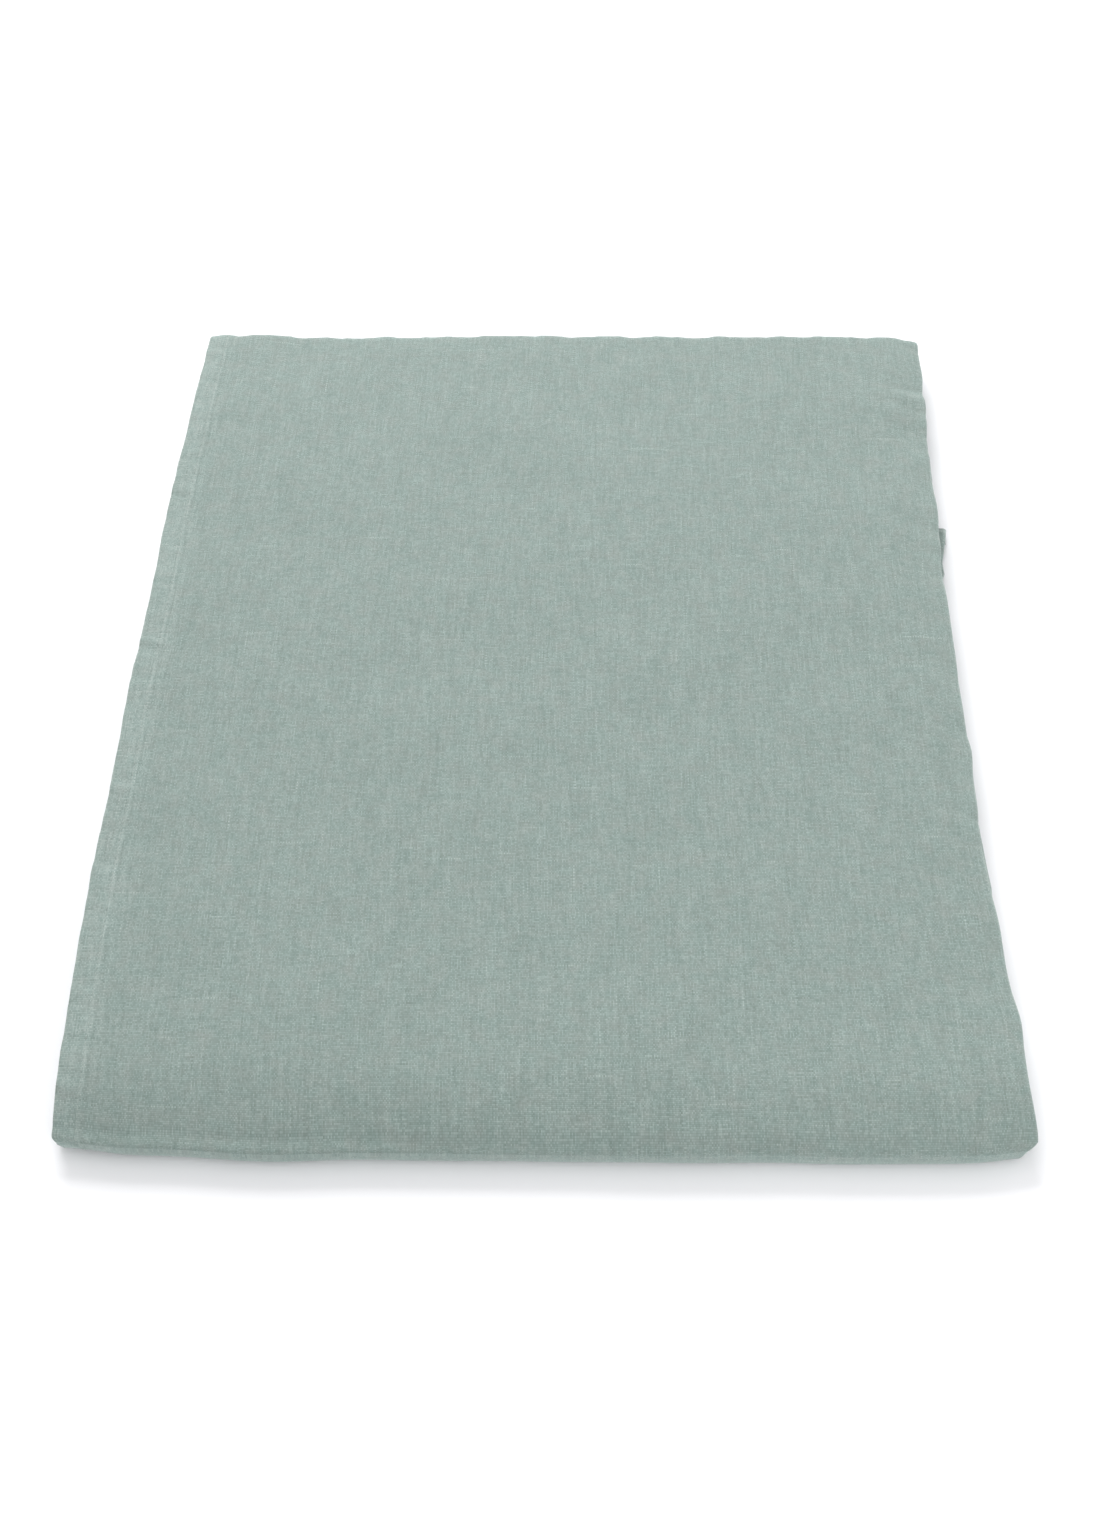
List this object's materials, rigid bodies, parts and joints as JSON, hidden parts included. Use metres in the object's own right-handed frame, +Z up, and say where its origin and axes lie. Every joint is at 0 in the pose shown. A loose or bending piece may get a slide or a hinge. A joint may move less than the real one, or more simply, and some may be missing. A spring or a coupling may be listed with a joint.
{
  "type": "folded tablecloth",
  "caption": "Rectangular linen tablecloth with turned hems, folded into a flat packet for storage or display, its last fold free to open.",
  "frame": {"origin": "centre of the packet's base, on the surface that it lies on", "axes": "+Z up through the stack of plies, +Y from the front wrap to the back fold, along the packet's longer side, +X to the folded side"},
  "size_m": [0.3766, 0.4909, 0.0179],
  "materials": {
    "linen": "washed plain-weave linen, grey green",
    "turned_hem": "double-turned linen hem, grey green",
    "sewing_thread": "matt cotton sewing thread, pale grey green"
  },
  "bodies": {
    "lower_half": {"lower_inner_panel": "linen", "bottom_panel": "linen", "front_fold_base": "linen", "core_fold_base": "linen", "front_crease": "linen", "outer_hem_core": "turned_hem", "outer_hem_base": "turned_hem", "inner_hem_core": "turned_hem", "inner_hem_base": "turned_hem", "outer_seam_core": "sewing_thread", "outer_seam_base": "sewing_thread", "inner_seam_core": "sewing_thread", "inner_seam_base": "sewing_thread", "end_hem_core": "turned_hem", "end_hem_base": "turned_hem", "end_seam_core": "sewing_thread", "end_seam_base": "sewing_thread", "hem_corner_1": "turned_hem", "hem_corner_2": "turned_hem", "hem_corner_3": "turned_hem", "hem_corner_4": "turned_hem"},
    "upper_half": {"top_panel": "linen", "upper_inner_panel": "linen", "front_fold_top": "linen", "core_fold_top": "linen", "back_fold": "linen", "outer_hem_top": "turned_hem", "inner_hem_top": "turned_hem", "outer_seam_top": "sewing_thread", "inner_seam_top": "sewing_thread"}
  },
  "joints": [
    {"name": "front_fold", "type": "hinge", "parent": "lower_half", "child": "upper_half", "pos_m": [0, -0.24546, 0.00893], "axis": [1, 0, 0], "range_deg": [0, 179.5], "deforming": ["front_crease"]}
  ]
}
